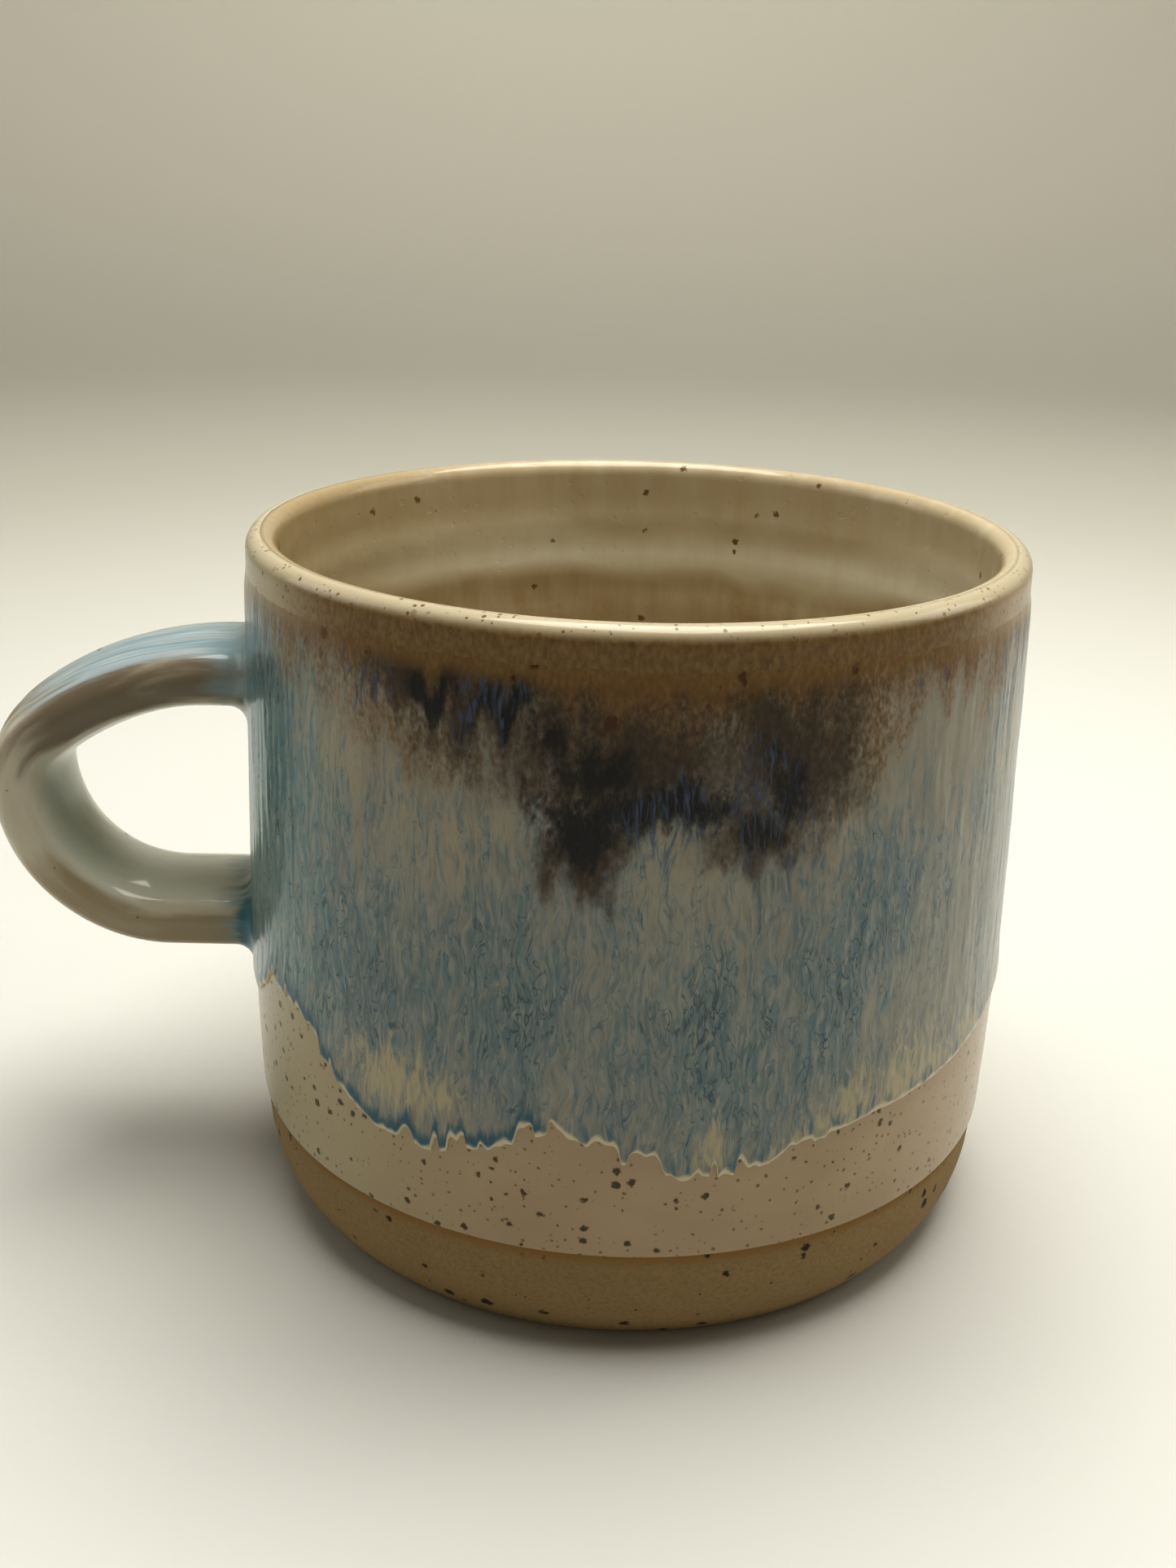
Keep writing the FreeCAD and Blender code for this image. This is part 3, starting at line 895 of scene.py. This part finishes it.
def flow_colour(tree):
    fine = run_noise(tree, *FINE_RUNS, waver=0.5 * MM)
    middling = run_noise(tree, *MIDDLING_RUNS, waver=0.7 * MM)
    wide = run_noise(tree, 3.5 * MM, 18 * MM, 3.0, 0.6, 17.0, waver=0.7 * MM)
    grain = run_noise(tree, 0.45 * MM, 0.8 * MM, 3.0, 0.3, 23.0)
    cloudy = run_noise(tree, 1.8 * MM, 3.0 * MM, 4.0, 0.8, 47.0)
    swirl = run_noise(tree, 1.3 * MM, 5 * MM, 2.0, 1.2, 29.0, waver=0.7 * MM)
    short = run_noise(tree, 0.5 * MM, 3 * MM, 2.0, 0.8, 41.0, waver=0.6 * MM)
    blue_wide = torn(tree, "blue", middling, 2.4, 0.6)
    blue_fine = torn(tree, "blue", fine, 3.0, 0.6)
    teal_lines = times(tree, veins(tree, swirl), blue_wide)
    tan_specks = iron_specks(tree, 1.8 * MM, 0.8 * MM, 0.5, 1.6)
    lip_grain = break_up(tree, 0.5, grain, 1.8, 0.5)
    return stack(
        tree,
        "#8d887b",
        [
            (break_up(tree, 0.5, wide, 2.4, 0.6), "#9f998b"),
            (torn(tree, "beige", middling, 2.4, 0.6), "#aa9f88"),
            (blue_wide, "#7b8d91"),
            (blue_fine, "#677c82"),
            (torn(tree, "aqua", middling, 2.0, 0.6), "#7c9a99"),
            (torn(tree, "aqua", fine, 3.4, 0.5), "#5d838a"),
            (torn(tree, "pale", short, 3.0, 0.7), "#9d9d92"),
            (teal_lines, "#475c65"),
            (torn(tree, "tan", cloudy, 1.6, 0.7), "#8f7750"),
            (torn(tree, "tan", grain, 2.2, 0.8), "#70532c"),
            (torn(tree, "brown", cloudy, 2.0, 0.9), "#594731"),
            (torn(tree, "brown", grain, 1.8, 0.9), "#3b2f1d"),
            (torn(tree, "black", cloudy, 2.2, 0.8), "#1a1714"),
            (torn(tree, "black", grain, 2.4, 0.8), "#080808"),
            (torn(tree, "violet", fine, 3.6, 0.5), "#46536a"),
            (torn(tree, "cream", short, 2.6, 0.6), "#b3a98d"),
            (torn(tree, "pool", middling, 2.2, 0.5), "#3b6272"),
            (painted_mask(tree, "rim"), "#cfc4a9"),
            (painted_mask(tree, "lip"), "#8c7149"),
            (times(tree, lip_grain, painted_mask(tree, "lip")), "#705531"),
            (painted_mask(tree, "lip_side"), "#a58f73"),
            (times(tree, tan_specks, painted_mask(tree, "tan")), "#4a2a0e"),
        ],
    )


def flow_relief(tree):
    fine = run_noise(tree, *FINE_RUNS, waver=0.5 * MM)
    middling = run_noise(tree, *MIDDLING_RUNS, waver=0.7 * MM)
    peel = run_noise(tree, 2.2 * MM, 3.5 * MM, 1.0)
    return weigh(tree, [(fine, 0.02 * MM), (middling, 0.04 * MM), (peel, 0.05 * MM)])


breaking_glaze = finish("breaking_blue_glaze", flow_colour, flow_relief, GLASS)
flowing_coat = knit("flowing_coat", flow_points, breaking_glaze, painted)

# %% [markdown]
# ## The pulled handle
#
# A potter pulls a handle: wet clay is stroked to a strap with crowned faces and thumb grooves along its
# outer face, then bent over and luted on. So the coat's mesh is a strap section carried along a bent
# line. At both ends the section spreads in a hollow corner and sinks under the wall's coat. The line's
# heights and reach come from the frame's box, and two arcs make the shoulder.

# %% The strap's section
STRAP_EDGE = 3.0 * MM
HANDLE_COAT = 0.55 * MM
low_corner, high_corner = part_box("pulled_handle")
strap_width = high_corner.y - low_corner.y
strap_half = 3.9 * MM  # half of the clay's thickness
edge_middle = strap_width / 2 - STRAP_EDGE
crown = (strap_half**2 + edge_middle**2 - STRAP_EDGE**2) / (2 * (strap_half - STRAP_EDGE))
crown_turn = math.atan2(edge_middle, crown - strap_half)

# Each point of the section is known by the way its surface faces: 0 outward, a quarter turn towards +Y.
outer_face = np.linspace(-crown_turn, crown_turn, 44)
side = np.linspace(crown_turn, math.pi - crown_turn, 16)[1:-1]
inner_face = np.linspace(math.pi - crown_turn, math.pi + crown_turn, 26)
facing = np.concatenate([outer_face, side, inner_face, side + math.pi])
across = np.concatenate(
    [
        crown * np.sin(outer_face),
        edge_middle + STRAP_EDGE * np.sin(side),
        crown * np.sin(inner_face),
        -edge_middle - STRAP_EDGE * np.sin(side),
    ]
)
out = np.concatenate(
    [
        strap_half - crown + crown * np.cos(outer_face),
        STRAP_EDGE * np.cos(side),
        crown - strap_half + crown * np.cos(inner_face),
        -STRAP_EDGE * np.cos(side),
    ]
)

# %% The strap's line
upper_level = high_corner.z - strap_half
lower_level = low_corner.z + strap_half
reach = -low_corner.x - strap_half
LEVEL_RUN = 3.7 * MM
LOWER_BEND = 17.2 * MM
SHARE = math.radians(38)  # part of the quarter turn that the wide arc takes
shoulder_from = outside(clay, upper_level) + LEVEL_RUN
middle_level = lower_level + LOWER_BEND
run = reach - shoulder_from
drop = upper_level - middle_level
scale = math.sin(SHARE) + math.cos(SHARE) - 1
wide_bend = (run * math.cos(SHARE) - drop * (1 - math.sin(SHARE))) / scale
tight_bend = (drop * math.sin(SHARE) - run * (1 - math.cos(SHARE))) / scale
print(f"shoulder arcs: {wide_bend / MM:.1f} and {tight_bend / MM:.1f} mm")

STEP = 0.6 * MM
stations = []  # reach, height, turn, length along the line
length = 0.0
wide_centre = (shoulder_from, upper_level - wide_bend)
tight_centre = (reach - tight_bend, middle_level)
bend_centre = (reach - LOWER_BEND, middle_level)
arcs = [
    (wide_centre, wide_bend, 0.0, SHARE),
    (tight_centre, tight_bend, SHARE, math.pi / 2),
    (bend_centre, LOWER_BEND, math.pi / 2, math.pi),
]
for centre, radius, start, end in arcs:
    count = max(6, round(radius * (end - start) / STEP))
    for angle in np.linspace(start, end, count, endpoint=False):
        place = (centre[0] + radius * math.sin(angle), centre[1] + radius * math.cos(angle))
        stations.append((*place, angle, length + radius * (angle - start)))
    length += radius * (end - start)
stations.append((reach - LOWER_BEND, lower_level, math.pi, length))
print(f"{len(stations)} stations on {length / MM:.1f} mm of bends")


# %% Rings of points
def wall_reach(y, z):
    """Distance along -X from the axis plane to the coated wall, for points of the handle's roots."""
    x = -np.sqrt(np.maximum(white_radius(z) ** 2 - y**2, 0))
    turn_here = np.degrees(np.arctan2(x, -y))
    over_edge = smoothstep(z - np.interp(turn_here, turns, edge, period=360), 0, 1 * MM)
    radius = white_radius(z) + 0.2 * MM * over_edge
    return np.sqrt(np.maximum(radius**2 - y**2, 0))


def root_ring(level, up, spread, depth):
    """A ring at a root: the coated section grown by spread, at a depth in front of the wall."""
    grown = HANDLE_COAT + spread
    y = across + grown * np.sin(facing)
    z = level + up * (out + grown * np.cos(facing))
    return np.stack([-(wall_reach(y, z) + depth), y, z], axis=-1)


HOLLOW = 2.25 * MM  # radius of the hollow corner round a root
hollow_turns = np.linspace(math.pi / 2, 0, 9)


def root_rings(level, up):
    """Rings from under the wall's coat to the end of the hollow corner."""
    shapes = [(HOLLOW + 0.6 * MM, -0.4 * MM), (HOLLOW + 0.3 * MM, -0.12 * MM)]
    for angle in hollow_turns:
        shapes.append((HOLLOW * (1 - math.cos(angle)), HOLLOW * (1 - math.sin(angle))))
    return [root_ring(level, up, spread, depth) for spread, depth in shapes]


def strap_ring(station, coat_depth):
    """The section at a station, with the coat's outer surface or the clay's."""
    far, z, angle, along = station
    n = out + coat_depth * np.cos(facing)
    y = across + coat_depth * np.sin(facing)
    return np.stack([-(far + n * math.sin(angle)), y, z + n * math.cos(angle)], axis=-1)


def blend_rings(first, last, count):
    """Rings between two others, for the level runs."""
    return [first + (last - first) * k / (count + 1) for k in range(1, count + 1)]


GROOVES = ((-4.1 * MM, 0.2), (-0.6 * MM, 0.26), (3.4 * MM, 0.22))  # place across, and depth in mm


def groove_depth(along):
    """Thumb grooves along the outer face, and the slow unevenness of a strap pulled by hand."""
    fade = smoothstep(along, -1 * MM, 6 * MM) * (1 - smoothstep(along, length - 8 * MM, length + 1 * MM))
    drift = 0.5 * MM * math.sin(along / (9 * MM))
    grooves = np.zeros(len(facing))
    for middle, depth in GROOVES:
        grooves += depth * MM * np.exp(-(((across - middle - drift) / (0.75 * MM)) ** 2))
    grooves *= np.cos(facing) > 0.5
    places = [(y / (5 * MM), n / (5 * MM), along / (11 * MM)) for y, n in zip(across, out)]
    uneven = np.array([noise.noise(Vector(place)) for place in places])
    return fade * grooves + 0.09 * MM * (1 + uneven) * fade


# %% Mesh of the handle's coat
upper = root_rings(upper_level, 1)
lower = root_rings(lower_level, -1)
bend = [strap_ring(s, HANDLE_COAT - groove_depth(s[3])) for s in stations]
upper_run = blend_rings(upper[-1], bend[0], 2)
lower_run = blend_rings(bend[-1], lower[-1], 12)
outer_rings = upper + upper_run + bend + lower_run + lower[::-1]
UNDER = -0.06 * MM  # the inner side lies this far inside the clay
IN_WALL = -1.0 * MM  # and its ends this far behind the wall's surface
inner_rings = [root_ring(lower_level, -1, -HANDLE_COAT, IN_WALL)]
inner_rings += [strap_ring(s, UNDER) for s in stations[::-6]]
inner_rings += [strap_ring(stations[0], UNDER), root_ring(upper_level, 1, -HANDLE_COAT, IN_WALL)]
handle_points = np.array(outer_rings + inner_rings)

# Length along the strap for each ring, below zero on the upper root.
corner_along = [-1.9 * HOLLOW, -1.75 * HOLLOW] + [-HOLLOW * a for a in hollow_turns]
UPPER_GAP = 0.6 * MM  # between the rings of the upper level run
ROOT_REACH = 46.5 * MM  # the coated wall behind the lower root
lower_gap = (bend_centre[0] - ROOT_REACH) - HOLLOW
along = [a - UPPER_GAP * 3 for a in corner_along] + [-1.2 * MM, -0.6 * MM] + [s[3] for s in stations]
along += [length + lower_gap * k / 13 for k in range(1, 13)]
along += [length + lower_gap - a for a in corner_along[::-1]]
along = np.array(along + [0.0] * len(inner_rings))
end_along = length + lower_gap

# %% [markdown]
# ## Colours of the handle
#
# The strap was dipped on its own, so its glaze shows the same colours in another order: milky blue with
# thin teal lines in the thumb grooves, brown on the edges where the coat ran off, grey beige round the
# bend, and a pool of teal at both joints. The streaks follow the strap, so the mesh carries a coordinate
# of the strap unrolled: across, out and along.


# %% Handle glaze
FINE_STRANDS = (0.6 * MM, 9 * MM, 3.0, 0.4, 3.0)


def handle_colour(tree):
    fine = run_noise(tree, *FINE_STRANDS, strand=True)
    middling = run_noise(tree, 2.2 * MM, 12 * MM, 3.0, 0.4, 11.0, strand=True)
    lines = run_noise(tree, 1.6 * MM, 60 * MM, 2.0, 0.3, 17.0, strand=True)
    teal = times(tree, veins(tree, lines), painted_mask(tree, "milky"))
    return stack(
        tree,
        "#c9c1ae",
        [
            (break_up(tree, 0.4, middling, 1.5, 0.5), "#d2cab8"),
            # Partly the inner face's own paler, less blue colour, partly painted light that lifts this face
            # out of its shade.
            (torn(tree, "inner", middling), "#d6d5c5"),
            (torn(tree, "taupe", middling), "#a4967c"),
            (torn(tree, "brown", middling), "#7f7361"),
            (torn(tree, "milky", middling), "#b7bdbb"),
            (torn(tree, "milky", fine, 3.5, 0.6), "#a3aeb1"),
            (teal, "#7797a2"),
            (torn(tree, "groove", fine), "#7f9ba3"),
            (torn(tree, "pool", middling), "#8b9fa2"),
            (torn(tree, "deep", fine, 1.6), "#4c7580"),
            (iron_specks(tree, 2.4 * MM, 0.42 * MM, 0.15), "#6a5840"),
        ],
    )


def handle_relief(tree):
    fine = run_noise(tree, *FINE_STRANDS, strand=True)
    peel = run_noise(tree, 2.6 * MM, 5 * MM, 1.0, 0.0, 5.0, strand=True)
    return weigh(tree, [(fine, 0.02 * MM), (peel, 0.06 * MM)])


handle_glaze = finish("dipped_handle_glaze", handle_colour, handle_relief, GLASS)

# %% Where each colour lies on the strap
ring_along = along[:, None] / MM
ring_end = end_along / MM
outward = np.cos(facing)[None, :]
toward_back = np.sin(facing)[None, :]
root_distance = np.minimum(ring_along, ring_end - ring_along)
strand = np.zeros(handle_points.shape)
strand[:, :, 0] = across[None, :]
strand[:, :, 1] = out[None, :]
strand[:, :, 2] = along[:, None]
is_groove = np.zeros(handle_points.shape[:2])
drift = 0.5 * MM * np.sin(ring_along * MM / (9 * MM))
for middle, depth in GROOVES:
    is_groove += np.exp(-(((across[None, :] - middle - drift) / (0.45 * MM)) ** 2)) * (outward > 0.5)
shoulder = 1 - smoothstep(ring_along, 13, 27)
lower_part = smoothstep(ring_along, 36, 48)
from_end = ring_end - ring_along + 1.2 * toward_back
all_over = np.ones(handle_points.shape[:2])
handle_painted = {
    "strand": strand,
    "milky": 0.9 * smoothstep(outward + 0.12 * toward_back, 0.6, 0.97) * shoulder,
    "groove": is_groove * shoulder * 0.7,
    "brown": 1.1 * smoothstep(outward, -0.95, -0.4) * (1 - smoothstep(ring_along, 17, 32)),
    # Inner face: partly its own paler colour, partly painted light against the shade of the mug and upper
    # strand.
    "inner": smoothstep(-outward, 0.4, 0.95) * all_over,
    "taupe": smoothstep(outward, -0.8, -0.3) * lower_part,
    "pool": 0.6 * (1 - smoothstep(root_distance, -1.5, 3.5)) * all_over,
    "deep": (1 - smoothstep(from_end, -2.6, -0.4)) * smoothstep(-toward_back, -0.2, 0.8),
}
handle_coat = knit("handle_coat", handle_points, handle_glaze, handle_painted)

# %% [markdown]
# ## What stands for what
#
# Each fine mesh replaces the frame's solid that it was measured on. The strap and the two slips stay as
# the frame has them, in bare clay, because their coat hides them. The fine meshes ride on the one body,
# root: a mug has no moving part.

# %% Onto the frame
for piece, node, slot in (
    (body, "thrown_body", "bare_stoneware"),
    (liner_coat, "liner_glaze", "liner_glaze"),
    (white_coat, "white_glaze", "white_glaze"),
    (flowing_coat, "flowing_glaze", "flowing_glaze"),
    (handle_coat, "handle_glaze", "handle_glaze"),
):
    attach(piece, "root")
    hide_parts(node)
for node in ("pulled_handle", "upper_joint_slip", "lower_joint_slip"):
    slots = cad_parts[node].data.materials
    slots.clear()
    slots.append(bare_stoneware)

# %% [markdown]
# ## Studio
#
# A sheet of matt paper curves up all round, so no horizon shows from any side. One large soft light hangs
# almost straight above the mug, which leaves the front in gentle shade and puts a bright line on the lip.
# Weak lights at both sides open the shade, one lights the paper behind, and a dim even sky fills the rest.

# %% Paper sweep
SWEEP_FLAT = 0.8
SWEEP_BEND = 0.6
SWEEP_TOP = 1.3
sweep_section = [(r, 0.0) for r in np.linspace(0, SWEEP_FLAT, 12)]
for angle in np.linspace(0, math.pi / 2, 16)[1:]:
    sweep_section.append((SWEEP_FLAT + SWEEP_BEND * math.sin(angle), SWEEP_BEND * (1 - math.cos(angle))))
sweep_section.append((SWEEP_FLAT + SWEEP_BEND, SWEEP_TOP))


def paper_colour(tree):
    place = add(tree, "ShaderNodeTexCoord").outputs["Object"]
    far = add(tree, "ShaderNodeVectorMath", {0: place}, operation="LENGTH").outputs["Value"]
    # Painted light and shade: the paper darkens away from the mug, as light falling off would, and its
    # upturned wall is painted lighter, as if lit.
    painted_falloff_shade = {"Value": far, "From Min": 0.14, "From Max": 0.5}
    painted_falloff_shade = add(tree, "ShaderNodeMapRange", painted_falloff_shade, **SMOOTH)
    painted_wall_light = {"Value": far, "From Min": 0.8, "From Max": 1.5}
    painted_wall_light = add(tree, "ShaderNodeMapRange", painted_wall_light, **SMOOTH)
    cloud = run_noise(tree, 300 * MM, 300 * MM, 2.0)
    # painted shade far from the mug, painted light on the wall
    return stack(tree, "#d0d0ca", [(cloud, "#d3d3cf"), (painted_falloff_shade, "#c2c0b5"), (painted_wall_light, "#f0ece0")])


def paper_relief(tree):
    return weigh(tree, [(run_noise(tree, 0.6 * MM, 0.6 * MM, 2.0), 0.01 * MM)])


PAPER = {"Roughness": 0.9, "Specular IOR Level": 0.2}
matt_paper = finish("matt_paper", paper_colour, paper_relief, PAPER)
paper = turn_piece("paper_sweep", sweep_section, 96, matt_paper)


# %% Lights
def area_light(name, place, aim, size, power, colour):
    """A square soft light at place, turned to aim."""
    data = bpy.data.lights.new(name, "AREA")
    data.shape = "SQUARE"
    data.size = size
    data.energy = power
    data.color = linear(colour)[:3]
    lamp = new_object(name, data)
    lamp.location = place
    lamp.rotation_euler = (Vector(aim) - Vector(place)).to_track_quat("-Z", "Y").to_euler()
    return lamp


area_light("key", (0.06, 0.08, 0.72), (0.02, 0.02, 0), 0.55, 7.8, "#fffdf8")
area_light("left", (-0.75, 0.15, 0.40), (0, 0, 0.04), 0.45, 0.9, "#f6fbff")
area_light("right", (0.75, 0.15, 0.45), (0, 0, 0.04), 0.45, 1.5, "#fffdf8")
area_light("back", (0.0, 0.85, 0.9), (0, 1.4, 0.35), 0.5, 2.3, "#fffdf8")
SKY_POWER = 0.14
GAMMA = 0.8
sky = bpy.data.worlds.new("sky")
sky.use_nodes = True
background = sky.node_tree.nodes["Background"]
background.inputs["Color"].default_value = linear("#e8e6e0")
background.inputs["Strength"].default_value = SKY_POWER
bpy.context.scene.world = sky
bpy.context.scene.view_settings.view_transform = "Standard"
bpy.context.scene.view_settings.gamma = GAMMA

# %% Camera
YAW = math.radians(0.686)  # towards +X
PITCH = math.radians(20.948)  # below level
TILT = math.radians(1.459)  # about the line of sight
STAND = (-7.39 * MM, -192.4 * MM, 123.8 * MM)
camera_data = bpy.data.cameras.new("camera")
camera_data.lens = 37.87
camera_data.sensor_width = 36.0
camera_data.clip_start = 0.01
camera = new_object("camera", camera_data)
turned = Matrix.Rotation(-YAW, 4, "Z") @ Matrix.Rotation(math.pi / 2 - PITCH, 4, "X")
turned = turned @ Matrix.Rotation(TILT, 4, "Z")
camera.matrix_world = Matrix.Translation(STAND) @ turned
bpy.context.scene.camera = camera
